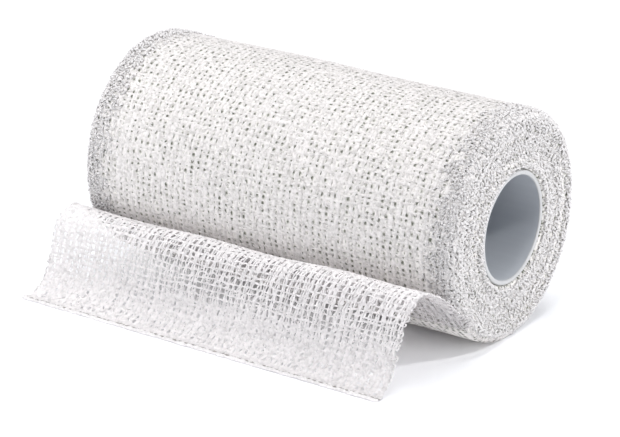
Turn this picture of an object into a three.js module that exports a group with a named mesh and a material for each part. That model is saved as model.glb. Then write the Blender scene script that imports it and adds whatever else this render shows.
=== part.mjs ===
// A roll of open-weave gauze bandage on a plastic core tube. It lies on its side, and its loose end
// comes off the front of the roll, humps over and is laid on the surface.
// Millimetres, +Z up. The roll's axis runs along X and the loose end reaches towards -Y.
// The origin is the middle of the flat spot that the roll rests on.
import * as THREE from "three";
import { mergeVertices } from "three/addons/utils/BufferGeometryUtils.js";

// The wound roll
const bandageWidth = 100;
const rollRadius = 26.6;
const rollCrown = 0.35; // how much fuller the roll is at mid-width
const crownDepth = 0.6; // share of the wound depth from which the turns follow the crown
const rollSquash = 0.5; // how far its own weight flattens it underneath
const shoulderRadius = 2.5; // soft corner between the side and an end face
const surfaceUnevenness = 0.14;
const softWaves = [
  { round: 3, along: 1.3, phase: 0 },
  { round: 5, along: -2.1, phase: 1 },
  { round: 0, along: 1.6, phase: 2 },
];

// Its end faces, with places on them given as shares of the wound depth
const faceDish = { depth: 0.9, rimFrom: 0.7 }; // the faces lie inside the bandage's width
const faceLip = { height: 0.8, at: 0.09, spread: 0.1 }; // the innermost turns stand proud
const faceTurns = { height: 0.35, count: 3, from: 0.12, full: 0.35, fading: 0.85 }; // coarse spiral

// The core tube
const coreRadius = 13;
const coreWall = 1.1;
const coreRecess = 0.75; // how far the tube ends inside the bandage's width
const coreChamfer = 0.3;

// The loose end
const clothThickness = 1.2;
const pieceGap = 0.3;
const peelStart = 14.5; // degrees round the roll from straight below, towards -Y
const peelEnd = 57; // where the loose end parts from the roll
const stepDown = { from: -5, to: -1.5 }; // where the roll makes room, in degrees from peelStart
const stepUp = { from: 6, to: 48 }; // where it is full again, in degrees from peelEnd
const freePart = { from: 0.42, full: 0.6 }; // shares of the loose end's length: off the roll
const laidPart = { from: 0.78, full: 0.9 }; // and down on the surface
const clothRipple = { height: 0.4, acrossWaves: 2.6, slant: 0.5 };

// The middle of the cloth's thickness along its two edges, from where it parts from the roll to
// its cut end on the surface.
const looseEndRows = [
  { leftX: -50.6, leftY: -26.3, leftZ: 16.8, rightX: 49.4, rightY: -26.4, rightZ: 17.3 },
  { leftX: -51.1, leftY: -28.6, leftZ: 18.3, rightX: 48.4, rightY: -29.5, rightZ: 20.4 },
  { leftX: -51.4, leftY: -30.7, leftZ: 18.4, rightX: 47.5, rightY: -32.0, rightZ: 21.9 },
  { leftX: -51.8, leftY: -32.9, leftZ: 17.2, rightX: 46.8, rightY: -34.9, rightZ: 21.1 },
  { leftX: -52.0, leftY: -34.6, leftZ: 15.4, rightX: 46.1, rightY: -36.9, rightZ: 18.3 },
  { leftX: -52.3, leftY: -35.8, leftZ: 11.7, rightX: 45.1, rightY: -38.3, rightZ: 13.6 },
  { leftX: -52.7, leftY: -36.6, leftZ: 7.6, rightX: 44.3, rightY: -39.1, rightZ: 8.4 },
  { leftX: -53.0, leftY: -37.7, leftZ: 4.3, rightX: 43.7, rightY: -40.0, rightZ: 4.6 },
  { leftX: -53.3, leftY: -39.8, leftZ: 2.0, rightX: 43.3, rightY: -41.6, rightZ: 1.9 },
  { leftX: -53.5, leftY: -42.9, leftZ: 0.6, rightX: 43.0, rightY: -43.1, rightZ: 0.6 },
  { leftX: -53.6, leftY: -45.9, leftZ: 0.6, rightX: 42.9, rightY: -44.9, rightZ: 0.6 },
];

// How finely the solids are divided
const turnSteps = 80;
const sideStations = 12;
const shoulderSteps = 3;
const faceRings = 11;
const coreSteps = 48;
const tiny = 1e-3;
const hugStep = 5; // degrees
const alongSteps = 36;
const acrossSteps = 22;

const axisHeight = rollRadius - rollSquash;
const halfWidth = bandageWidth / 2;
const boreRadius = coreRadius + pieceGap;
const rimRadius = rollRadius - shoulderRadius;
const layerRoom = clothThickness + pieceGap;
const clamp = THREE.MathUtils.clamp;
const degToRad = THREE.MathUtils.degToRad;
const smoothstep = THREE.MathUtils.smoothstep;

const clothMaterial = new THREE.MeshStandardMaterial({ color: 0xf1efed, roughness: 0.95, metalness: 0 });
const coreMaterial = new THREE.MeshStandardMaterial({ color: 0xe6e7ea, roughness: 0.35, metalness: 0 });

// A point round the roll's axis. The angle starts straight below and grows towards -Y.
function roundTheRoll(x, radius, angle) {
  return new THREE.Vector3(x, -radius * Math.sin(angle), axisHeight - radius * Math.cos(angle));
}

// The extra radius at a place across the bandage: a parabola that is nothing at the ends.
function crownAt(x) {
  return rollCrown * (1 - (x / halfWidth) ** 2);
}

// How far the loose end's own layer is missing from the roll: its thickness and the gap from where
// it starts to where it parts, and then less and less, as one turn of the spiral.
function missingLayer(angle) {
  const degrees = THREE.MathUtils.radToDeg(angle);
  const begun = smoothstep(degrees, peelStart + stepDown.from, peelStart + stepDown.to);
  const healed = smoothstep(degrees, peelEnd + stepUp.from, peelEnd + stepUp.to);
  return layerRoom * begun * (1 - healed);
}

// Soft, uneven winding: slow waves round and along the roll, added up.
function unevenness(x, angle) {
  const along = (x / halfWidth) * Math.PI;
  const wave = (sum, soft) => sum + Math.sin(soft.round * angle + soft.along * along + soft.phase);
  return (surfaceUnevenness * softWaves.reduce(wave, 0)) / 2;
}

// How far an end face stands out at a share of the wound depth, from the bore to the rim: a lip
// round the core and a coarse spiral of uneven turns, on a slightly dished face.
function faceRelief(share, angle) {
  const lip = faceLip.height * Math.exp(-(((share - faceLip.at) / faceLip.spread) ** 2));
  const rising = smoothstep(share, faceTurns.from, faceTurns.full);
  const fading = 1 - smoothstep(share, faceTurns.fading, 1);
  const spiral = Math.sin(2 * Math.PI * faceTurns.count * share - angle);
  const turns = faceTurns.height * rising * fading * spiral;
  const dish = faceDish.depth * (1 - smoothstep(share, faceDish.rimFrom, 1));
  return lip + turns - dish;
}

// The roll's section through its axis, closed round the wound depth: bore, end face, shoulder,
// side, shoulder and end face. x is the radius and y the place across the bandage.
function rollProfile() {
  const points = [];
  const face = (side) => {
    for (let i = 0; i < faceRings; i++) {
      const radius = boreRadius + ((rimRadius - boreRadius) * i) / (faceRings - 1);
      points.push(new THREE.Vector2(radius, side * halfWidth));
    }
  };
  const shoulder = (side) => {
    for (let i = 1; i <= shoulderSteps; i++) {
      const turn = ((Math.PI / 2) * i) / shoulderSteps;
      const radius = rimRadius + shoulderRadius * Math.sin(turn);
      points.push(new THREE.Vector2(radius, side * (halfWidth - shoulderRadius * (1 - Math.cos(turn)))));
    }
  };
  face(-1);
  shoulder(-1);
  const sideEnd = halfWidth - shoulderRadius;
  for (let i = 1; i < sideStations; i++) {
    points.push(new THREE.Vector2(rollRadius, -sideEnd + (2 * sideEnd * i) / sideStations));
  }
  const farSide = points.length;
  face(1);
  shoulder(1);
  points.push(...points.splice(farSide).reverse());
  points.push(points[0].clone());
  return points;
}

// Turns a closed profile round the roll's axis, with each point moved to where place() puts it.
function turned(profile, steps, place) {
  const lathe = new THREE.LatheGeometry(profile, steps);
  const position = lathe.getAttribute("position");
  for (let i = 0; i < position.count; i++) {
    const across = position.getX(i);
    const below = position.getZ(i);
    const spot = place(position.getY(i), Math.hypot(across, below), Math.atan2(-across, below));
    position.setXYZ(i, spot.x, spot.y, spot.z);
  }
  lathe.deleteAttribute("normal");
  lathe.deleteAttribute("uv");
  return mergeVertices(lathe, 1e-4);
}

// The wound bandage: a thick ring with a soft, uneven outside, flat where it rests.
function woundRollGeometry() {
  return turned(rollProfile(), turnSteps, (x, radius, angle) => {
    const depth = clamp((radius - boreRadius) / (rollRadius - boreRadius), 0, 1);
    const onFace = radius < rimRadius + tiny;
    const outwards = onFace ? faceRelief((radius - boreRadius) / (rimRadius - boreRadius), angle) : 0;
    const missing = missingLayer(angle);
    const bulge = crownAt(x) + unevenness(x, angle) * (1 - missing / layerRoom);
    const full = radius + smoothstep(depth, crownDepth, 1) * bulge;
    const outside = rollRadius + bulge - missing;
    const spot = roundTheRoll(x + Math.sign(x) * outwards, Math.min(full, outside), angle);
    spot.z = Math.max(spot.z, 0);
    return spot;
  });
}

// The core: a thin tube with its rims slightly broken.
function coreTubeGeometry() {
  const end = halfWidth - coreRecess;
  const inside = coreRadius - coreWall;
  const rim = (side) => [
    new THREE.Vector2(inside, side * (end - coreChamfer)),
    new THREE.Vector2(inside + coreChamfer, side * end),
    new THREE.Vector2(coreRadius - coreChamfer, side * end),
    new THREE.Vector2(coreRadius, side * (end - coreChamfer)),
  ];
  const profile = [...rim(-1), ...rim(1).reverse()];
  profile.push(profile[0].clone());
  return turned(profile, coreSteps, roundTheRoll);
}

// One edge of the loose end, from its start under the roll to its cut end.
function looseEndEdge(side, rowPoint) {
  const points = [];
  for (let degrees = peelStart; degrees <= peelEnd; degrees += hugStep) {
    points.push(roundTheRoll(side * halfWidth, rollRadius - clothThickness / 2, degToRad(degrees)));
  }
  points.push(...looseEndRows.map(rowPoint));
  return new THREE.CatmullRomCurve3(points, false, "centripetal");
}

// The middle surface of the loose end, ruled between its two edges.
function looseEndSurface() {
  const left = looseEndEdge(-1, (row) => new THREE.Vector3(row.leftX, row.leftY, row.leftZ));
  const right = looseEndEdge(1, (row) => new THREE.Vector3(row.rightX, row.rightY, row.rightZ));
  left.arcLengthDivisions = right.arcLengthDivisions = 1200;
  return (along, across) => left.getPointAt(along).lerp(right.getPointAt(along), across);
}

// The loose end: the surface with its thickness, bowed away from the roll's crown where it lies on
// it, and softly rippled where it stands free. Its outer side is the one that faces up when laid.
function looseEndGeometry() {
  const surface = looseEndSurface();
  const upper = [];
  const lower = [];
  for (let i = 0; i <= alongSteps; i++) {
    for (let j = 0; j <= acrossSteps; j++) {
      const along = i / alongSteps;
      const across = j / acrossSteps;
      const spot = surface(along, across);
      const behind = surface(Math.max(along - tiny, 0), across);
      const forwards = surface(Math.min(along + tiny, 1), across).sub(behind);
      const sideways = surface(along, 1).sub(surface(along, 0));
      const out = sideways.cross(forwards).normalize().negate();
      const laid = smoothstep(along, laidPart.from, laidPart.full);
      const free = smoothstep(along, freePart.from, freePart.full);
      const bow = crownAt(bandageWidth * (across - 0.5)) * (1 - free);
      const turn = 2 * Math.PI * (clothRipple.acrossWaves * across + clothRipple.slant * along);
      const ripple = clothRipple.height * free * (1 - laid) * Math.sin(turn);
      spot.addScaledVector(out, ripple - bow);
      upper.push(spot.clone().addScaledVector(out, clothThickness / 2));
      const under = spot.clone().addScaledVector(out, -clothThickness / 2);
      under.z = Math.max(under.z, 0);
      lower.push(under);
    }
  }
  return sheetGeometry(upper, lower, alongSteps, acrossSteps);
}

// Closes two grids of points, one above the other, into a sheet with four narrow sides.
function sheetGeometry(upper, lower, rows, columns) {
  const points = [...upper, ...lower];
  const below = upper.length;
  const at = (i, j) => i * (columns + 1) + j;
  const faces = [];
  const quad = (a, b, c, d) => faces.push(a, b, c, a, c, d);
  for (let i = 0; i < rows; i++) {
    for (let j = 0; j < columns; j++) {
      quad(at(i, j), at(i + 1, j), at(i + 1, j + 1), at(i, j + 1));
      quad(below + at(i, j), below + at(i, j + 1), below + at(i + 1, j + 1), below + at(i + 1, j));
    }
    quad(at(i, 0), below + at(i, 0), below + at(i + 1, 0), at(i + 1, 0));
    quad(at(i, columns), at(i + 1, columns), below + at(i + 1, columns), below + at(i, columns));
  }
  for (let j = 0; j < columns; j++) {
    quad(at(0, j), at(0, j + 1), below + at(0, j + 1), below + at(0, j));
    quad(at(rows, j), below + at(rows, j), below + at(rows, j + 1), at(rows, j + 1));
  }
  const geometry = new THREE.BufferGeometry().setFromPoints(points);
  geometry.setIndex(faces);
  return geometry;
}

function namedMesh(name, geometry, material) {
  const mesh = new THREE.Mesh(geometry, material);
  mesh.name = name;
  geometry.computeVertexNormals();
  return mesh;
}

const bandageRoll = new THREE.Group();
bandageRoll.add(
  namedMesh("wound_roll", woundRollGeometry(), clothMaterial),
  namedMesh("core_tube", coreTubeGeometry(), coreMaterial),
  namedMesh("loose_end", looseEndGeometry(), clothMaterial),
);

export default bandageRoll;
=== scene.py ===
import math

import bpy
import numpy as np
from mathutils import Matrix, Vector


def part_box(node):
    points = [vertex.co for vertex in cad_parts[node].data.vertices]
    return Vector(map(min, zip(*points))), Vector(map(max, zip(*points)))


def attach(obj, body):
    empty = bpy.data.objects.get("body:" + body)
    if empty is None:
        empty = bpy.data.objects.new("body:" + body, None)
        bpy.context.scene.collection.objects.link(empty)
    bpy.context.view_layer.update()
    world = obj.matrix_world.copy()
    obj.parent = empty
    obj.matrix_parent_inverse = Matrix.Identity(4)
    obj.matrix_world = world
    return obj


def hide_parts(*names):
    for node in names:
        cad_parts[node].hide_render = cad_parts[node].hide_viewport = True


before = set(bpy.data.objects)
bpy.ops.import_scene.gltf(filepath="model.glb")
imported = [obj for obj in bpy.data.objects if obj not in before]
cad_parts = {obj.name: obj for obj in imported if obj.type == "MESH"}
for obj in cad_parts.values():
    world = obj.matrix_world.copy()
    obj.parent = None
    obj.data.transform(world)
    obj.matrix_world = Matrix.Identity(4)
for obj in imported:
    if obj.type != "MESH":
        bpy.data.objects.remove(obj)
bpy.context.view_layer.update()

mm = 0.001
random = np.random.default_rng(57)

coreLow, coreHigh = (np.array(corner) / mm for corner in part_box("core_tube"))
coreRadius = (coreHigh[2] - coreLow[2]) / 2
axisHeight = (coreHigh[2] + coreLow[2]) / 2


# Shared shapes

# 0 below low, 1 above high and a soft S between them.
def softStep(value, low, high):
    share = np.clip((value - low) / (high - low), 0, 1)
    return share * share * (3 - 2 * share)


# Smooth random rows about 0 with unit spread: white noise with its short waves faded out by a bell
# curve, so that a bump is about span steps long.
def randomWaves(count, steps, span):
    waves = np.fft.rfft(random.standard_normal((count, steps)), axis=1)
    waves *= np.exp(-0.5 * (np.fft.rfftfreq(steps) * span * 2) ** 2)
    rows = np.fft.irfft(waves, n=steps, axis=1)
    return rows / rows.std()


# Vectors divided by their own length.
def unit(vectors):
    return vectors / np.linalg.norm(vectors, axis=-1, keepdims=True)


# The four corners of every cell of a grid of points, row by row, closed round either way if asked.
def gridQuads(rows, columns, closeRows=False, closeColumns=False):
    row = np.arange(rows if closeRows else rows - 1)[:, None]
    column = np.arange(columns if closeColumns else columns - 1)[None, :]
    nextRow, nextColumn = (row + 1) % rows, (column + 1) % columns
    corners = (
        row * columns + column,
        nextRow * columns + column,
        nextRow * columns + nextColumn,
        row * columns + nextColumn,
    )
    return np.stack([corner + 0 * row + 0 * column for corner in corners], axis=-1).reshape(-1, 4)


# A thread's section is a low triangle, with its points in threes. The two long edges at its foot are
# sharp, so that its upper side shades as one soft flat rounding.
def sharpenThreads(mesh):
    ends = np.empty(2 * len(mesh.edges), np.int32)
    mesh.edges.foreach_get("vertices", ends)
    corner = ends.reshape(-1, 2) % 3
    foot = (corner[:, 0] == corner[:, 1]) & (corner[:, 0] > 0)
    mesh.attributes.new("sharp_edge", "BOOLEAN", "EDGE").data.foreach_set("value", foot)


# One mesh object from whole arrays of points in millimetres and of faces. Where it has triangles they
# are the caps of threads. across is each point's place on the cloth, counted in threads both ways.
def makePiece(name, points, quads, material, triangles=None, across=None):
    faces = [quads] if triangles is None else [quads, triangles]
    corners = np.concatenate([face.ravel() for face in faces]).astype(np.int32)
    sizes = np.concatenate([np.full(len(face), face.shape[1], np.int32) for face in faces])
    mesh = bpy.data.meshes.new(name)
    mesh.vertices.add(len(points))
    mesh.vertices.foreach_set("co", (points * mm).astype(np.float32).ravel())
    mesh.loops.add(len(corners))
    mesh.loops.foreach_set("vertex_index", corners)
    mesh.polygons.add(len(sizes))
    starts = np.concatenate([[0], np.cumsum(sizes)[:-1]]).astype(np.int32)
    mesh.polygons.foreach_set("loop_start", starts)
    mesh.polygons.foreach_set("use_smooth", np.ones(len(sizes), bool))
    mesh.update(calc_edges=True)
    if triangles is not None:
        sharpenThreads(mesh)
    if across is not None:
        layer = mesh.uv_layers.new(name="cloth")
        layer.data.foreach_set("uv", across[corners].astype(np.float32).ravel())
    mesh.validate()
    mesh.materials.append(material)
    piece = bpy.data.objects.new(name, mesh)
    bpy.context.scene.collection.objects.link(piece)
    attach(piece, "root")
    return piece


threadPath = {"outwardStep": 0.2, "offFloor": 0.03}  # the step tells which way is off the surface


# Threads laid on a surface: each is a path of (across, along, lift) carried through the surface's
# formula, with a low triangle of points square to the path at every step, as high over its middle as
# thick says and about as wide to either side as wide says, and a flat cap at each end.
def threads(surface, across, along, lift, wide, thick):
    sides = 3  # the caps below and the sharp edges count on it
    centre = surface(across, along, lift)
    outward = unit(surface(across, along, lift + threadPath["outwardStep"]) - centre)
    centre[..., 2] = np.maximum(centre[..., 2], thick + threadPath["offFloor"])
    tangent = unit(np.gradient(centre, axis=1))
    sideways = unit(np.cross(tangent, outward))
    upward = np.cross(sideways, tangent)
    turn = (2 * np.pi * np.arange(sides) / sides)[:, None]
    high = (thick[..., None] * upward)[:, :, None] * np.cos(turn)
    broad = (wide[..., None] * sideways)[:, :, None] * np.sin(turn)
    points = centre[:, :, None] + high + broad
    points[..., 2] = np.maximum(points[..., 2], 0)
    count, steps = centre.shape[:2]
    first = (np.arange(count) * steps * sides)[:, None]
    quads = gridQuads(steps, sides, closeColumns=True)[:, [0, 3, 2, 1]]
    quads = (quads[None] + first[:, :, None]).reshape(-1, 4)
    firstCap = np.array([[0, 2, 1]]) + first
    lastCap = np.array([[0, 1, 2]]) + first + (steps - 1) * sides
    return points.reshape(-1, 3), quads, np.concatenate([firstCap, lastCap])


# Several sets of threads as one: their points in a row, with the faces' numbers moved on to match.
def joined(parts):
    shift = np.cumsum([0] + [len(part[0]) for part in parts[:-1]])
    points = np.concatenate([part[0] for part in parts])
    quads = np.concatenate([part[1] + start for part, start in zip(parts, shift)])
    ends = np.concatenate([part[2] + start for part, start in zip(parts, shift)])
    return points, quads, ends


nubSizes = (0.7, 1.3)


# Short humped bits of thread at spots of a surface, each lying its own way: three points, two sunk and
# tapered ends and a raised middle that is moved a little sideways. perAlong is what one millimetre is
# in the surface's along coordinate.
def nubBits(surface, across, along, perAlong, nub):
    size = random.uniform(*nubSizes, across.shape)[:, None]
    way = random.uniform(0, 2 * np.pi, across.shape)[:, None]
    bend = nub["sideBend"] * random.standard_normal(across.shape)[:, None]
    place = np.array([[-1.0, 0.0, 1.0]])
    middle = 1 - place**2
    run = nub["halfLength"] * size * place
    bitAcross = across[:, None] + run * np.cos(way) - bend * middle * np.sin(way)
    bitAlong = along[:, None] + (run * np.sin(way) + bend * middle * np.cos(way)) * perAlong
    taper = size * (1 - nub["taper"] * place**2)
    lift = nub["hump"] * size * middle - nub["sunk"]
    return threads(surface, bitAcross, bitAlong, lift, nub["wide"] * taper, nub["thick"] * taper)


# Materials

# An sRGB hex colour as linear light: each part is scaled down where dark, and otherwise raised to 2.4.
def linear(hexColour):
    parts = [int(hexColour[i:i + 2], 16) / 255 for i in (1, 3, 5)]
    return [c / 12.92 if c <= 0.04045 else ((c + 0.055) / 1.055) ** 2.4 for c in parts] + [1.0]


# A new material with its node tree and its main shader.
def newMaterial(name):
    material = bpy.data.materials.new(name)
    material.use_nodes = True
    return material, material.node_tree, material.node_tree.nodes["Principled BSDF"]


# Adds one node, with its own settings and with a value or a link for each named input.
def addNode(tree, kind, settings=None, **inputs):
    node = tree.nodes.new("ShaderNode" + kind)
    for key, value in (settings or {}).items():
        setattr(node, key, value)
    for key, value in inputs.items():
        socket = node.inputs[int(key[1:])] if key[0] == "i" and key[1:].isdigit() else node.inputs[key]
        if isinstance(value, bpy.types.NodeSocket):
            tree.links.new(value, socket)
        else:
            socket.default_value = value
    return node


thread = {
    "shadeSpecks": 1500.0, "fibres": 5500.0,  # each to a metre, which is 0.67 and 0.18 mm
    "roughness": 0.92, "sheen": 0.2, "sheenRoughness": 0.5, "specular": 0.2,
}


# Bleached cotton and viscose thread, spun and crinkled: dull white, with short loose fibres as a fine
# bump, and random darker specks over half a millimetre apart that are partly the fibres' own tone and
# partly painted shade between the fibres. Through is the share of it that lets light pass to its far
# side, as loosely spun cotton does.
def bleachedThread(name, pale, shaded, through):
    material, tree, shader = newMaterial(name)
    place = addNode(tree, "TexCoord")
    tone = addNode(tree, "TexNoise", Vector=place.outputs["Object"], Scale=thread["shadeSpecks"], Detail=3.0)
    # The ramp's shaded end is painted shade in random specks between the fibres.
    colour = addNode(tree, "ValToRGB", Fac=tone.outputs["Fac"])
    dark, light = colour.color_ramp.elements
    dark.position, dark.color = 0.36, linear(shaded)
    light.position, light.color = 0.58, linear(pale)
    fibres = addNode(tree, "TexNoise", Vector=place.outputs["Object"], Scale=thread["fibres"], Detail=2.0)
    bump = addNode(tree, "Bump", Height=fibres.outputs["Fac"], Strength=0.5, Distance=0.00008)
    tree.links.new(colour.outputs["Color"], shader.inputs["Base Color"])
    tree.links.new(bump.outputs["Normal"], shader.inputs["Normal"])
    shader.inputs["Roughness"].default_value = thread["roughness"]
    shader.inputs["Sheen Weight"].default_value = thread["sheen"]
    shader.inputs["Sheen Roughness"].default_value = thread["sheenRoughness"]
    shader.inputs["Specular IOR Level"].default_value = thread["specular"]
    glow = addNode(tree, "BsdfTranslucent", Color=colour.outputs["Color"], Normal=bump.outputs["Normal"])
    both = addNode(tree, "MixShader", i0=through, i1=shader.outputs["BSDF"], i2=glow.outputs["BSDF"])
    tree.links.new(both.outputs["Shader"], tree.nodes["Material Output"].inputs["Surface"])
    return material


shadedPit = {
    "uneven": 0.5,  # how far the pits stray, as a share of the pitch
    "middle": (0.75, 0.75, 0.0), "shape": (1.5, 1.0, 0.0),
    "fuzz": 0.7, "fuzzScale": 3.2, "filled": 0.25,
    # painted shade by depth in a pit: olive-grey at its middle, grey on its sides, white on top
    "shadeColours": ((0.54, "#62655A"), (0.75, "#BFBEB8"), (0.95, "#E6E3E0")),
}


# The turns of gauze under the outermost one: fluffy white, with painted shade in a small pit in the
# middle of each gap of the weave, of uneven size and place, olive-grey where it is deepest. The cloth's
# UV map counts threads both ways. The height is the distance to the middle of a pit, with noise and a
# random filling of each pit added.
def gauzeBelowShadedPits(name):
    material, tree, shader = newMaterial(name)
    cloth = addNode(tree, "UVMap", {"uv_map": "cloth"})
    middle = addNode(tree, "Mapping", Vector=cloth.outputs["UV"], Location=shadedPit["middle"])
    pits = addNode(tree, "TexVoronoi", {"voronoi_dimensions": "2D"},
                   Vector=middle.outputs["Vector"], Scale=1.0, Randomness=shadedPit["uneven"])
    away = addNode(tree, "VectorMath", {"operation": "SUBTRACT"},
                   i0=middle.outputs["Vector"], i1=pits.outputs["Position"])
    longer = addNode(tree, "VectorMath", {"operation": "MULTIPLY"},
                     i0=away.outputs["Vector"], i1=shadedPit["shape"])
    distance = addNode(tree, "VectorMath", {"operation": "LENGTH"}, i0=longer.outputs["Vector"])
    fuzz = addNode(tree, "TexNoise", Vector=cloth.outputs["UV"],
                   Scale=shadedPit["fuzzScale"], Detail=3.0, Roughness=0.6)
    rough = addNode(tree, "Math", {"operation": "MULTIPLY_ADD"},
                    i0=fuzz.outputs["Fac"], i1=shadedPit["fuzz"], i2=distance.outputs["Value"])
    filled = addNode(tree, "SeparateColor", Color=pits.outputs["Color"])
    height = addNode(tree, "Math", {"operation": "MULTIPLY_ADD"},
                     i0=filled.outputs["Red"], i1=shadedPit["filled"], i2=rough.outputs["Value"])
    colour = addNode(tree, "ValToRGB", Fac=height.outputs["Value"])
    # The ramp paints shade by the pit's depth, darkest at its middle.
    (deepAt, deep), (sideAt, side), (topAt, top) = shadedPit["shadeColours"]
    first, last = colour.color_ramp.elements
    first.position, first.color = deepAt, linear(deep)
    last.position, last.color = topAt, linear(top)
    colour.color_ramp.elements.new(sideAt).color = linear(side)
    bump = addNode(tree, "Bump", Height=height.outputs["Value"], Strength=0.4, Distance=0.0003)
    tree.links.new(colour.outputs["Color"], shader.inputs["Base Color"])
    tree.links.new(bump.outputs["Normal"], shader.inputs["Normal"])
    shader.inputs["Roughness"].default_value = 0.95
    shader.inputs["Specular IOR Level"].default_value = 0.15
    return material


# Polypropylene tube, extruded and cut: white, slightly see-through at its thin rim, with a satin
# face that picks up soft light and very faint draw lines along it, 1.1 mm apart.
def satinPolypropylene(name, pale, shaded):
    material, tree, shader = newMaterial(name)
    place = addNode(tree, "TexCoord")
    stretched = addNode(tree, "Mapping", Vector=place.outputs["Object"], Scale=(8.0, 900.0, 900.0))
    lines = addNode(tree, "TexNoise", Vector=stretched.outputs["Vector"], Scale=1.0, Detail=2.0)
    bump = addNode(tree, "Bump", Height=lines.outputs["Fac"], Strength=0.06, Distance=0.0001)
    tone = addNode(tree, "ValToRGB", Fac=lines.outputs["Fac"])
    dark, light = tone.color_ramp.elements
    dark.color, light.color = linear(shaded), linear(pale)
    tree.links.new(tone.outputs["Color"], shader.inputs["Base Color"])
    tree.links.new(bump.outputs["Normal"], shader.inputs["Normal"])
    shader.inputs["Roughness"].default_value = 0.34
    shader.inputs["IOR"].default_value = 1.49
    shader.inputs["Subsurface Weight"].default_value = 0.08
    shader.inputs["Subsurface Radius"].default_value = (0.001, 0.001, 0.001)
    return material


rollThread = bleachedThread("bleached gauze thread", "#F3F0EF", "#D9D6D4", 0.25)
nubThread = bleachedThread("bleached gauze selvedge loops", "#F3F1F1", "#D9D7D7", 0.25)
# The loose end's copy of the thread is paler than the roll's, with fainter specks: painted light.
looseLitThread = bleachedThread("bleached gauze thread, single layer, painted paler", "#F9F7F7", "#EAE8E8", 0.42)
# A dark copy of the thread: painted shade for the bottoms of the cut end's holes.
paintedShadeThread = bleachedThread("painted shade under the cut end's holes", "#97938F", "#85817E", 0.1)
belowGauzeShadedPits = gauzeBelowShadedPits("gauze turns below, painted shade in pits")
rimPlastic = satinPolypropylene("extruded white polypropylene", "#BBBBBC", "#B4B5B6")
# The bore's copy is bluer than the rim's: painted shade inside the tube.
boreShadePlastic = satinPolypropylene("extruded white polypropylene, bore with painted shade", "#BABEC3", "#B1B5BB")
print("materials made")


# The wound roll's form

roll = {
    "halfWidth": 50.0,
    "radius": 26.6,
    "crown": 0.35,
    "shoulder": 2.5,  # soft corner between the side and an end face
    "bore": coreRadius + 0.3,
    "unevenness": 0.14,
    "softWaves": ((3, 1.3, 0), (5, -2.1, 1), (0, 1.6, 2)),  # round, along and phase of each
    "layerRoom": 1.5,  # the loose end's own layer, missing from where it comes off
    "healFrom": 52, "healTo": 68,  # degrees from straight below where the roll is full again
    "dish": 0.9, "dishRim": 0.7,
    "lip": 0.8, "lipAt": 0.09, "lipSpread": 0.1,
    "faceTurns": 0.2, "faceSpiral": 3, "spiralFrom": (0.12, 0.35), "spiralTo": (0.85, 1),
    "faceFrom": 1.5,  # down an end face, where its relief is whole
}
rim = roll["radius"] - roll["shoulder"]
sideEnd = roll["halfWidth"] - roll["shoulder"]
cornerLength = roll["shoulder"] * np.pi / 2
boreEnd = sideEnd + cornerLength + rim - roll["bore"]


# How much fuller than its plain radius the side is: a parabola across the width, less the missing
# layer, and slow waves round and along.
def sideBulge(x, angle):
    share = x / roll["halfWidth"]
    degrees = np.degrees(angle)
    missing = roll["layerRoom"] * (1 - softStep(degrees, roll["healFrom"], roll["healTo"]))
    waves = sum(np.sin(r * angle + a * np.pi * share + phase) for r, a, phase in roll["softWaves"])
    whole = 1 - missing / roll["layerRoom"]
    return roll["crown"] * (1 - share**2) + roll["unevenness"] / 2 * waves * whole - missing


# How far an end face stands out at a share of the wound depth: a lip of proud inner turns, a coarse
# spiral and a shallow dish.
def faceRelief(share, angle):
    lip = roll["lip"] * np.exp(-(((share - roll["lipAt"]) / roll["lipSpread"]) ** 2))
    fade = softStep(share, *roll["spiralFrom"]) * (1 - softStep(share, *roll["spiralTo"]))
    turns = roll["faceTurns"] * fade * np.sin(2 * np.pi * roll["faceSpiral"] * share - angle)
    return lip + turns - roll["dish"] * (1 - softStep(share, roll["dishRim"], 1))


# A place on the roll. across runs from the middle of the width over the side, round a quarter circle
# and down the end face, angle starts straight below and grows towards -Y, and lift is the height.
def rollSkin(across, angle, lift):
    beyond = np.maximum(np.abs(across) - sideEnd, 0)
    corner = np.minimum(beyond / roll["shoulder"], np.pi / 2)
    down = np.maximum(beyond - cornerLength, 0)
    share = 1 - down / (rim - roll["bore"])
    onFace = softStep(down, 0, roll["faceFrom"])
    x = np.minimum(np.abs(across), sideEnd) + (roll["shoulder"] + lift) * np.sin(corner)
    x = x + onFace * faceRelief(share, angle)
    bulge = sideBulge(across, angle) * np.cos(corner)
    r = rim + (roll["shoulder"] + lift) * np.cos(corner) + bulge - down
    return np.stack([np.sign(across) * x, -r * np.sin(angle), axisHeight - r * np.cos(angle)], axis=-1)


warpPitch, weftPitch = 1.68, 1.38  # from one line of threads to the next, across and along the cloth

# The outermost turn of the roll. It starts where the loose end comes off and ends underneath, where
# the loose end carries on. Each family's strands are rows of offset, swing, rise, half width, half
# height and crinkle.
outerTurn = {
    "start": 50, "end": 374.5,  # degrees from straight below
    "short": 0.6,  # how far its threads stop before the end faces
    "sink": 0.3,  # of the threads' middle below the skin
    "warp": {
        "step": 0.45, "drift": 0.14, "driftSpan": 6, "uneven": 0.16, "pinch": 0.2,
        "crinkleSpan": 1.1, "over": 0.05, "loft": 0.025,
        "pitch": warpPitch, "strands": ((0.0, 0.04, 0.0, 0.62, 0.09, 0.1),),
    },
    "weft": {
        "step": 0.5, "drift": 0.2, "driftSpan": 10, "uneven": 0.18, "pinch": 0.2,
        "crinkleSpan": 1.2, "over": -0.05, "loft": 0.025,
        "pitch": weftPitch, "strands": ((0.0, 0.03, 0.0, 0.37, 0.09, 0.1),),
    },
    "nubs": 9000,
    "nub": {
        "halfLength": 0.45, "sideBend": 0.14, "sunk": 0.02, "hump": 0.09,
        "wide": 0.2, "thick": 0.08, "taper": 0.45,
    },
}
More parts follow.
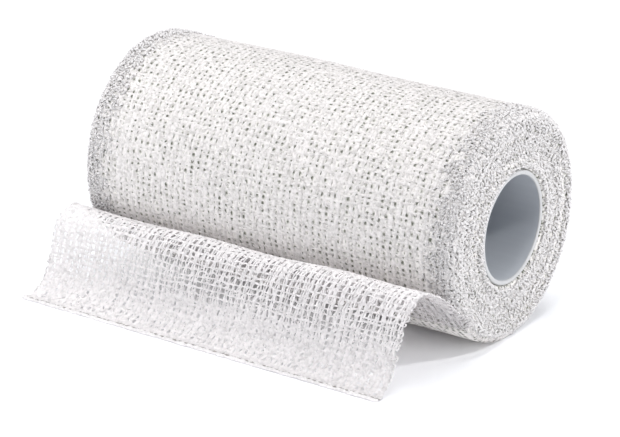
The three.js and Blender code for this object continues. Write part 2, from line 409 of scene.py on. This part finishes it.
turnLength = np.radians(outerTurn["end"] - outerTurn["start"]) * roll["radius"]
turnWidth = 2 * (sideEnd + cornerLength - outerTurn["short"])
turnColumns, turnRows = round(turnWidth / warpPitch), round(turnLength / weftPitch)


strandSpread = {
    "evenSpan": 10,  # how long a thick or thin stretch of a line is
    "wide": 0.2, "wideLimits": (0.45, 1.7), "thick": 0.2, "thickLimits": (0.6, 1.5),
}


# One family of parallel threads on a flat length of cloth: where each strand is along its run and
# beside it, how far it is lifted, and its half width and half height. The lines of the family stand a
# pitch apart and wander slowly. Each strand of a line swings from side to side and rides over and
# under as a cosine that turns half round from one crossing to the next, crinkles as smooth random
# waves, and is pinched midway between two crossings.
def strandPaths(family, run, spread, crossings):
    lines = round(spread / family["pitch"])
    steps = int(run / family["step"]) + 1
    place = np.linspace(0, run, steps)[None]
    line = np.arange(lines)[:, None]
    beat = np.pi * (crossings * place / run - 0.5 + line)
    middle = (line + 0.5) * spread / lines
    middle = middle + family["drift"] * randomWaves(lines, steps, family["driftSpan"] / family["step"])
    fullness = 1 + family["uneven"] * randomWaves(lines, steps, strandSpread["evenSpan"] / family["step"])
    fullness = fullness * (1 - family["pinch"] * np.sin(beat) ** 2)
    rows = []
    for offset, swing, rise, wide, thick, crinkle in family["strands"]:
        waves = randomWaves(4 * lines, steps, family["crinkleSpan"] / family["step"])
        waves = waves.reshape(4, lines, steps)
        beside = middle + offset + swing * np.cos(beat) + crinkle * waves[0]
        lift = rise + family["over"] * np.cos(beat) + family["loft"] * waves[1]
        wider = fullness * (1 + strandSpread["wide"] * waves[2])
        thicker = 1 + strandSpread["thick"] * waves[3]
        halfWidth = wide * np.clip(wider, *strandSpread["wideLimits"])
        halfHeight = thick * np.clip(thicker, *strandSpread["thickLimits"])
        rows.append((place + 0 * beside, beside, lift, halfWidth, halfHeight))
    return [np.concatenate(parts) for parts in zip(*rows)]


nearThread = {"warp": 0.2, "weft": 0.17}  # how far bits stray from a thread, in pitches


# Random spots close to the threads of a weave, half along each family, as shares of its width and
# length.
def spotsOnWeave(count, columns, rows):
    half = count // 2
    column, row = random.integers(0, columns, half), random.integers(0, rows, half)
    column = (column + 0.5 + nearThread["warp"] * random.standard_normal(half)) / columns
    downColumn, acrossRow = random.random(half), random.random(half)
    row = (row + 0.5 + nearThread["weft"] * random.standard_normal(half)) / rows
    return np.concatenate([column, acrossRow]), np.concatenate([downColumn, row])


# The turns under the outermost one, as one closed ring of cloth: the roll's section, a little inside
# its skin, carried round the axis.
innerTurns = {"depth": 0.4, "sectionSteps": 92, "turnSteps": 160, "boreSteps": 5}


def makeInnerTurns():
    half = np.linspace(0, boreEnd, innerTurns["sectionSteps"] // 2)
    across = np.concatenate([-half[:0:-1], half])
    turn = 2 * np.pi * np.arange(innerTurns["turnSteps"]) / innerTurns["turnSteps"]
    angle = np.radians(outerTurn["start"]) + turn
    grid = np.meshgrid(angle, across, indexing="ij")
    points = rollSkin(grid[1], grid[0], -innerTurns["depth"])
    points[..., 2] = np.maximum(points[..., 2], innerTurns["depth"])
    bore = points[:, [-1, 0]]
    share = np.linspace(0, 1, innerTurns["boreSteps"] + 2)[1:-1, None]
    inside = bore[:, None, 0] * (1 - share) + bore[:, None, 1] * share
    points = np.concatenate([points, inside], axis=1)
    column = (grid[1] / turnWidth + 0.5) * turnColumns - 0.5
    row = (grid[0] - np.radians(outerTurn["start"])) * roll["radius"] / turnLength * turnRows - 0.5
    uv = np.stack([column, row], axis=-1)
    uv = np.concatenate([uv, np.repeat(uv[:, -1:], innerTurns["boreSteps"], axis=1)], axis=1)
    quads = gridQuads(points.shape[0], points.shape[1], closeRows=True, closeColumns=True)
    points, uv = points.reshape(-1, 3), uv.reshape(-1, 2)
    return makePiece("inner_turns", points, quads, belowGauzeShadedPits, across=uv)


# The outermost turn: its two families of threads and its crinkled bits, laid on the roll's skin.
def makeOuterTurn():
    def surface(across, along, lift):
        angle = np.radians(outerTurn["start"]) + along / roll["radius"]
        return rollSkin(across, angle, lift - outerTurn["sink"])

    along, beside, lift, wide, thick = strandPaths(outerTurn["warp"], turnLength, turnWidth, turnRows)
    points, quads, ends = threads(surface, beside - turnWidth / 2, along, lift, wide, thick)
    makePiece("outer_turn_warp", points, quads, rollThread, triangles=ends)
    place, beside, lift, wide, thick = strandPaths(outerTurn["weft"], turnWidth, turnLength, turnColumns)
    points, quads, ends = threads(surface, place - turnWidth / 2, beside, lift, wide, thick)
    makePiece("outer_turn_weft", points, quads, rollThread, triangles=ends)
    across, along = spotsOnWeave(outerTurn["nubs"], turnColumns, turnRows)
    across, along = across * turnWidth - turnWidth / 2, along * turnLength
    points, quads, ends = nubBits(surface, across, along, 1, outerTurn["nub"])
    makePiece("outer_turn_crinkle", points, quads, rollThread, triangles=ends)


turns = makeInnerTurns()
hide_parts("wound_roll")
makeOuterTurn()
print("wound roll made")


# The end faces and their shoulders: the selvedge loops of every turn, as short humped bits of thread
# that lie every way, thinning out over the last of the side.
endNubs = {
    "spacing": 0.62,
    "fadeIn": 7.0,  # of the side, before the shoulder
    "halfLength": 0.48, "sideBend": 0.16,
    "sunk": 0.34, "hump": 0.36,
    "wide": 0.26, "thick": 0.17, "taper": 0.5,
    "ringsShort": 0.2, "bitsShort": 0.1,  # how far from the bore's edge they all stop
}


# Rings of spots, spacing apart both ways and each moved at random by up to half of it.
def makeEndNubs(name, side):
    nub = endNubs
    start = sideEnd - nub["fadeIn"]
    ring = np.arange(start, boreEnd - nub["ringsShort"], nub["spacing"])
    ringRadius = np.minimum(roll["radius"], boreEnd - ring + roll["bore"])
    counts = np.round(2 * np.pi * ringRadius / nub["spacing"]).astype(int)
    across, r = np.repeat(ring, counts), np.repeat(ringRadius, counts)
    angle = 2 * np.pi * np.concatenate([np.arange(count) / count for count in counts])
    across = across + nub["spacing"] * random.uniform(-0.5, 0.5, len(r))
    angle = angle + nub["spacing"] * random.uniform(-0.5, 0.5, len(r)) / r
    kept = random.random(len(r)) < softStep(across, start, sideEnd)

    def surface(across, angle, lift):
        across = np.minimum(across, boreEnd - nub["bitsShort"])
        return rollSkin(across, angle, lift) * np.array([side, 1, 1])

    points, quads, ends = nubBits(surface, across[kept], angle[kept], 1 / r[kept, None], nub)
    if side < 0:
        quads, ends = quads[:, ::-1], ends[:, ::-1]
    makePiece(name, points, quads, nubThread, triangles=ends)


makeEndNubs("end_nubs_right", 1)
makeEndNubs("end_nubs_left", -1)
print("end faces made")


# The core tube: its section, with rounded rims, carried round the axis. Its bore is painted bluer, as
# shade.
coreTube = {"wall": 1.1, "rimRound": 0.35, "rimSteps": 6, "turnSteps": 128, "lengthSteps": 6}


def makeCoreTube():
    end = coreHigh[0]
    r = coreTube["rimRound"]
    corner = np.linspace(0, np.pi / 2, coreTube["rimSteps"])
    outer, inner = coreRadius, coreRadius - coreTube["wall"]
    rimX = np.concatenate([end - r + r * np.sin(corner), end - r + r * np.cos(corner)])
    rimR = np.concatenate([outer - r + r * np.cos(corner), inner + r - r * np.sin(corner)])
    length = np.linspace(-end + r, end - r, coreTube["lengthSteps"] + 2)[1:-1]
    x = np.concatenate([length, rimX, length[::-1], -rimX[::-1]])
    radius = np.concatenate([np.full(len(length), outer), rimR, np.full(len(length), inner), rimR[::-1]])
    turn = 2 * np.pi * np.arange(coreTube["turnSteps"])[:, None] / coreTube["turnSteps"]
    y, z = -radius * np.sin(turn), axisHeight - radius * np.cos(turn)
    points = np.stack([x + 0 * turn, y, z], axis=-1)
    quads = gridQuads(points.shape[0], points.shape[1], closeRows=True, closeColumns=True)
    piece = makePiece("core", points.reshape(-1, 3), quads, rimPlastic)
    piece.data.materials.append(boreShadePlastic)
    onBore = np.isclose(radius, inner, rtol=0, atol=1e-6)
    shade = np.tile(onBore & np.roll(onBore, -1), coreTube["turnSteps"])
    piece.data.polygons.foreach_set("material_index", shade.astype(np.int32))
    return piece


core = makeCoreTube()
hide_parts("core_tube")
print("core made")


# The loose end's two edges: where it lies on the roll, and then rows from where it parts to its cut
# end. These are the same places as the solid's.
looseEnd = {
    "middleRadius": 26.0,
    "peelStart": 14.5, "peelEnd": 57, "hugStep": 5,  # degrees round the roll from straight below
    "halfWidth": 50.0,
    "left": np.array([
        (-50.6, -26.3, 16.8), (-51.1, -28.6, 18.3), (-51.4, -30.7, 18.4), (-51.8, -32.9, 17.2),
        (-52.0, -34.6, 15.4), (-52.3, -35.8, 11.7), (-52.7, -36.6, 7.6), (-53.0, -37.7, 4.3),
        (-53.3, -39.8, 2.0), (-53.5, -42.9, 0.6), (-53.6, -45.9, 0.6),
    ]),
    "right": np.array([
        (49.4, -26.4, 17.3), (48.4, -29.5, 20.4), (47.5, -32.0, 21.9), (46.8, -34.9, 21.1),
        (46.1, -36.9, 18.3), (45.1, -38.3, 13.6), (44.3, -39.1, 8.4), (43.7, -40.0, 4.6),
        (43.3, -41.6, 1.9), (43.0, -43.1, 0.6), (42.9, -44.9, 0.6),
    ]),
    "ripple": 0.4, "rippleWaves": 2.6, "rippleSlant": 0.5,
    # shares of its length: where it is off the roll's round side, off its shoulders, and laid down
    "free": (0.42, 0.6), "offShoulder": (0.25, 0.42), "laid": (0.78, 0.9),
    "settled": 0.2,
    "selvedgeRoom": 0.8, "warpShort": 0.5,  # left free of weft beside, and of warp at the cut end
    "warp": {
        "step": 0.36, "drift": 0.13, "driftSpan": 6, "uneven": 0.12, "pinch": 0.3,
        "crinkleSpan": 1.1, "over": 0.05, "loft": 0.025,
        "pitch": warpPitch,
        "strands": (
            (0.27, 0.05, 0.0, 0.285, 0.07, 0.08),
            (-0.27, -0.05, 0.0, 0.285, 0.07, 0.08),
            (0.6, 0.2, 0.0, 0.09, 0.06, 0.2),
        ),
    },
    "weft": {
        "step": 0.42, "drift": 0.18, "driftSpan": 9, "uneven": 0.15, "pinch": 0.2,
        "crinkleSpan": 1.1, "over": -0.05, "loft": 0.025,
        "pitch": weftPitch, "strands": ((0.0, 0.03, 0.0, 0.25, 0.07, 0.1),),
    },
    "nubs": 3000, "fillers": 6000,  # bits near the threads, and anywhere where the cloth is denser
    "nub": {
        "halfLength": 0.45, "sideBend": 0.14, "sunk": 0.03, "hump": 0.08,
        "wide": 0.18, "thick": 0.07, "taper": 0.45,
    },
}


# A smooth curve through given points, at equal steps along it: cubic stretches whose slope at
# each point is set by its neighbours, with the square root of the distances as the parameter.
def smoothEdge(points, steps=600):
    gaps = np.linalg.norm(np.diff(points, axis=0), axis=1)
    knot = np.concatenate([[0], np.cumsum(np.sqrt(gaps))])
    slope = np.gradient(points, knot, axis=0)
    place = np.linspace(0, knot[-1], steps * 4)
    cell = np.clip(np.searchsorted(knot, place, side="right") - 1, 0, len(gaps) - 1)
    width = (knot[cell + 1] - knot[cell])[:, None]
    t = (place[:, None] - knot[cell][:, None]) / width
    curve = (
        (2 * t**3 - 3 * t**2 + 1) * points[cell]
        + (t**3 - 2 * t**2 + t) * width * slope[cell]
        + (3 * t**2 - 2 * t**3) * points[cell + 1]
        + (t**3 - t**2) * width * slope[cell + 1]
    )
    walked = np.concatenate([[0], np.cumsum(np.linalg.norm(np.diff(curve, axis=0), axis=1))])
    even = np.linspace(0, walked[-1], steps)
    return np.stack([np.interp(even, walked, curve[:, i]) for i in range(3)], axis=1), walked[-1]


# One edge of the loose end: an arc round the roll, and then its rows, as one smooth curve.
def looseEdge(side, rows):
    past = looseEnd["peelEnd"] + 0.1  # so that the last step isn't lost
    angle = np.radians(np.arange(looseEnd["peelStart"], past, looseEnd["hugStep"]))
    r = looseEnd["middleRadius"]
    y, z = -r * np.sin(angle), axisHeight - r * np.cos(angle)
    hug = np.stack([side * looseEnd["halfWidth"] + 0 * angle, y, z], axis=1)
    return smoothEdge(np.concatenate([hug, rows]))


leftEdge, leftLength = looseEdge(-1, looseEnd["left"])
rightEdge, rightLength = looseEdge(1, looseEnd["right"])
looseLength = (leftLength + rightLength) / 2
leftWay, rightWay = np.gradient(leftEdge, axis=0), np.gradient(rightEdge, axis=0)


# A place on the loose end: a straight line between equal shares of its two edges, bowed over the
# roll's crown and round its shoulders, rippled where it is free, and lifted along the surface's own
# upward side, which faces the roll where the cloth still lies on it.
def looseSkin(across, along, lift):
    place = np.clip(along / looseLength, 0, 1)
    share = across / (2 * looseEnd["halfWidth"]) + 0.5
    grid = np.linspace(0, 1, len(leftEdge))

    def pick(table):
        return np.stack([np.interp(place, grid, table[:, i]) for i in range(3)], axis=-1)

    left, right = pick(leftEdge), pick(rightEdge)
    ratio = share[..., None]
    forwards = pick(leftWay) * (1 - ratio) + pick(rightWay) * ratio
    out = -unit(np.cross(right - left, forwards))
    laid, free = softStep(place, *looseEnd["laid"]), softStep(place, *looseEnd["free"])
    bow = roll["crown"] * (1 - (2 * share - 1) ** 2) * (1 - free)
    steepest = 0.97 * roll["shoulder"]  # short of where the shoulder stands upright
    beyond = np.clip(np.abs(across) - sideEnd, 0, steepest)
    drop = roll["shoulder"] - np.sqrt(roll["shoulder"] ** 2 - beyond**2)
    drop = drop * (1 - softStep(place, *looseEnd["offShoulder"]))
    turn = 2 * np.pi * (looseEnd["rippleWaves"] * share + looseEnd["rippleSlant"] * place)
    ripple = looseEnd["ripple"] * free * (1 - laid) * np.sin(turn)
    settled = -looseEnd["settled"] * laid
    return left + (right - left) * ratio + out * (ripple - bow + drop + settled + lift)[..., None]


# Where the loose end's threads are fuller than elsewhere, as shares of the most. The left part is in
# millimetres across the cloth, and the rest in shares of its length.
fuller = {
    "most": 0.7,
    "left": 0.4, "leftFade": (-39, -34),
    "crest": 0.35, "crestFrom": (0.4, 0.47), "crestTo": (0.56, 0.61),
    "lowerFrom": (0.75, 0.83), "laidLess": 0.35, "laidFrom": (0.92, 0.96),
}


# How full the threads are: 1, and up to most more at the left edge, over the crest and where the cloth
# comes down to the floor, with a soft S at each border and the largest of the three where they meet.
def looseFullness(across, along):
    place = along / looseLength
    leftEnd = fuller["left"] * (1 - softStep(across, *fuller["leftFade"]))
    crest = fuller["crest"] * softStep(place, *fuller["crestFrom"])
    crest = crest * (1 - softStep(place, *fuller["crestTo"]))
    laid = 1 - fuller["laidLess"] * softStep(place, *fuller["laidFrom"])
    lower = softStep(place, *fuller["lowerFrom"]) * laid
    return 1 + fuller["most"] * np.maximum(np.maximum(leftEnd, crest), lower)


# The cut end: thick close rows of weft, with a flat row after the first that leaves a small hole at
# every pitch, and below it a flat dark thread that is painted shade at the holes' bottom. Each row is
# its distance from the edge, its half width and its half height.
cutEnd = {
    "rows": ((0.42, 0.42, 0.36), (1.95, 0.46, 0.32)),
    "between": (1.16, 0.42, 0.26),
    # below is the dark thread of painted shade under the holes
    "below": (0.06, 0.44, 0.06),  # its lift, half width and half height
    "hole": 0.95,  # how much of the flat row is gone in a hole's middle
    "drift": 0.05, "wave": 0.06, "uneven": 0.16, "unevenLimits": (0.6, 1.5), "span": 3,
    "depth": 2.0, "step": 0.36,
}


# The loose end's cloth: its two families of threads and its crinkled bits. Bits beyond the ones on the
# threads are kept at random, more of them where the cloth is fuller.
def makeLooseEnd():
    width = 2 * looseEnd["halfWidth"] - looseEnd["selvedgeRoom"]
    length = looseLength - cutEnd["depth"]
    columns, rows = round(width / warpPitch), round(length / weftPitch)
    run = looseLength - looseEnd["warpShort"]
    along, beside, lift, wide, thick = strandPaths(looseEnd["warp"], run, width, rows)
    across = beside - width / 2
    wide = wide * looseFullness(across, along)
    points, quads, ends = threads(looseSkin, across, along, lift, wide, thick)
    warp = makePiece("loose_warp", points, quads, looseLitThread, triangles=ends)
    place, along, lift, wide, thick = strandPaths(looseEnd["weft"], width, length, columns)
    across = place - width / 2
    wide = wide * looseFullness(across, along)
    points, quads, ends = threads(looseSkin, across, along, lift, wide, thick)
    weft = makePiece("loose_weft", points, quads, looseLitThread, triangles=ends)
    across, along = spotsOnWeave(looseEnd["nubs"], columns, rows)
    across = np.concatenate([across, random.random(looseEnd["fillers"])]) * width - width / 2
    along = np.concatenate([along, random.random(looseEnd["fillers"])]) * length
    dense = looseFullness(across, along) > 1 + fuller["most"] * random.random(len(along))
    kept = dense | (np.arange(len(along)) < looseEnd["nubs"])
    points, quads, ends = nubBits(looseSkin, across[kept], along[kept], 1, looseEnd["nub"])
    crinkle = makePiece("loose_crinkle", points, quads, looseLitThread, triangles=ends)
    return warp, [weft, crinkle]


def makeCutEnd():
    table = np.array(cutEnd["rows"] + (cutEnd["between"],))
    width = 2 * looseEnd["halfWidth"]
    steps = int(width / cutEnd["step"])
    across = np.broadcast_to(np.linspace(-width / 2, width / 2, steps), (len(table), steps))
    waves = randomWaves(len(table), steps, cutEnd["span"])
    along = looseLength - table[:, :1] + cutEnd["drift"] * waves
    lift = cutEnd["wave"] * randomWaves(len(table), steps, cutEnd["span"])
    full = 1 + cutEnd["uneven"] * randomWaves(len(table), steps, cutEnd["span"])
    full = np.clip(full, *cutEnd["unevenLimits"])
    hole = np.array([[0.0], [0.0], [cutEnd["hole"]]]) * np.sin(np.pi * across / warpPitch) ** 2
    wide, thick = table[:, 1:2] * full * (1 - hole), table[:, 2:] * full * (1 - hole)
    points, quads, ends = threads(looseSkin, across, along, lift, wide, thick)
    piece = makePiece("cut_end", points, quads, looseLitThread, triangles=ends)
    along = np.full((1, steps), looseLength - cutEnd["between"][0])
    lift, wide, thick = (np.full((1, steps), value) for value in cutEnd["below"])
    points, quads, ends = threads(looseSkin, across[:1], along, lift, wide, thick)
    return [piece, makePiece("cut_end_painted_shade", points, quads, paintedShadeThread, triangles=ends)]


# The selvedges: the weft turns back in small uneven loops, one at nearly every thread. A loop is half
# an ellipse, as far out as out says and over twice reach pitches of the edge.
selvedge = {
    "pitch": 1.75, "from": 8.0, "moved": 0.3,  # moved is in pitches
    "inside": 0.55, "out": 0.42, "reach": 0.32, "rise": 0.15, "steps": 7,
    "sizeSpread": 0.35, "sizeLimits": (0.3, 1.8),
    "radius": 0.19, "radiusSpread": 0.2, "radiusLimits": (0.7, 1.4),
}


def makeSelvedges():
    count = int((looseLength - selvedge["from"]) / selvedge["pitch"])
    turn = np.linspace(0, np.pi, selvedge["steps"])
    parts = []
    for side in (-1, 1):
        size = 1 + selvedge["sizeSpread"] * random.standard_normal((count, 1))
        size = np.clip(size, *selvedge["sizeLimits"])
        place = np.arange(count)[:, None] + selvedge["moved"] * random.uniform(-1, 1, (count, 1))
        start = selvedge["from"] + place * selvedge["pitch"]
        out = selvedge["out"] * size * np.sin(turn)
        across = side * (looseEnd["halfWidth"] - selvedge["inside"] + out)
        along = start + selvedge["reach"] * selvedge["pitch"] * size * (1 - np.cos(turn))
        lift = selvedge["rise"] * random.standard_normal((count, 1)) * np.sin(turn)
        radius = 1 + selvedge["radiusSpread"] * random.standard_normal((count, 1))
        radius = selvedge["radius"] * np.clip(radius, *selvedge["radiusLimits"]) + 0 * lift
        parts.append(threads(looseSkin, across, along, lift, radius, radius))
    points, quads, ends = joined(parts)
    return makePiece("selvedge_loops", points, quads, looseLitThread, triangles=ends)


warp, weft = makeLooseEnd()
trims = weft + makeCutEnd() + [makeSelvedges()]
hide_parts("loose_end")
print("loose end made, length in mm:", round(float(looseLength), 1))


# The floor, the light and the camera

stage = {"floorSize": 6.0, "floorColour": "#FAFBFD"}


# A large square floor through the lowest point.
def makeStage():
    half = stage["floorSize"] / 2
    mesh = bpy.data.meshes.new("floor")
    corners = [(-half, -half, 0), (half, -half, 0), (half, half, 0), (-half, half, 0)]
    mesh.from_pydata(corners, [], [(0, 1, 2, 3)])
    material, tree, shader = newMaterial("matt white studio floor")
    shader.inputs["Base Color"].default_value = linear(stage["floorColour"])
    shader.inputs["Roughness"].default_value = 0.9
    shader.inputs["Specular IOR Level"].default_value = 0.1
    mesh.materials.append(material)
    floor = bpy.data.objects.new("floor", mesh)
    bpy.context.scene.collection.objects.link(floor)


# Places and sizes are in metres, and powers in watts. The key is the small light whose shadow is
# sharp. rightHigh shines into the bore.
lights = {
    "worldColour": "#EEF2FC", "worldStrength": 0.25,
    "key": {"place": (0.15, -0.45, 0.88), "size": 0.06, "power": 0.9},
    "top": {"place": (-0.1, 0.15, 1.0), "size": 1.0, "power": 6.7},
    "left": {"place": (-0.32, -0.25, 0.22), "size": 0.2, "power": 0.95},
    "front": {"place": (-0.2, -0.9, 0.12), "size": 0.6, "power": 1.85},
    "rightHigh": {"place": (0.62, 0.05, 0.75), "size": 0.1, "power": 3.1},
    "right": {"place": (0.9, 0.15, 0.22), "size": 0.5, "power": 4.5},
}


# One round lamp that faces the middle of the roll's foot.
def makeLight(name):
    light = lights[name]
    data = bpy.data.lights.new(name, "AREA")
    data.shape, data.size, data.energy = "DISK", light["size"], light["power"]
    lamp = bpy.data.objects.new(name, data)
    lamp.location = light["place"]
    lamp.rotation_euler = (-Vector(light["place"])).to_track_quat("-Z", "Y").to_euler()
    bpy.context.scene.collection.objects.link(lamp)


# A pale even sky and the lamps.
def makeLights():
    world = bpy.data.worlds.new("studio")
    world.use_nodes = True
    background = world.node_tree.nodes["Background"]
    background.inputs["Color"].default_value = linear(lights["worldColour"])
    background.inputs["Strength"].default_value = lights["worldStrength"]
    bpy.context.scene.world = world
    for name in ("key", "top", "left", "front", "rightHigh", "right"):
        makeLight(name)


# The camera's place round its target, in degrees and metres, fitted to the roll's outline.
view = {
    "azimuth": 34.27, "elevation": 22.58, "distance": 0.6195,
    "target": (-0.0047, 0.0, 0.0157), "lens": 155.7, "sensor": 36.0,
}


def makeCamera():
    turn, rise = math.radians(view["azimuth"]), math.radians(view["elevation"])
    back = Vector((math.sin(turn) * math.cos(rise), -math.cos(turn) * math.cos(rise), math.sin(rise)))
    data = bpy.data.cameras.new("camera")
    data.lens, data.sensor_width, data.sensor_fit = view["lens"], view["sensor"], "HORIZONTAL"
    data.clip_start, data.clip_end = 0.01, 20
    camera = bpy.data.objects.new("camera", data)
    camera.location = Vector(view["target"]) + back * view["distance"]
    camera.rotation_euler = back.to_track_quat("Z", "Y").to_euler()
    bpy.context.scene.collection.objects.link(camera)
    bpy.context.scene.camera = camera


makeStage()
makeLights()
makeCamera()
bpy.context.scene.view_settings.view_transform = "Standard"
bpy.context.scene.cycles.max_bounces = 20  # light passes many times between white threads
bpy.context.scene.cycles.diffuse_bounces = 16
print("stage, light and camera made")
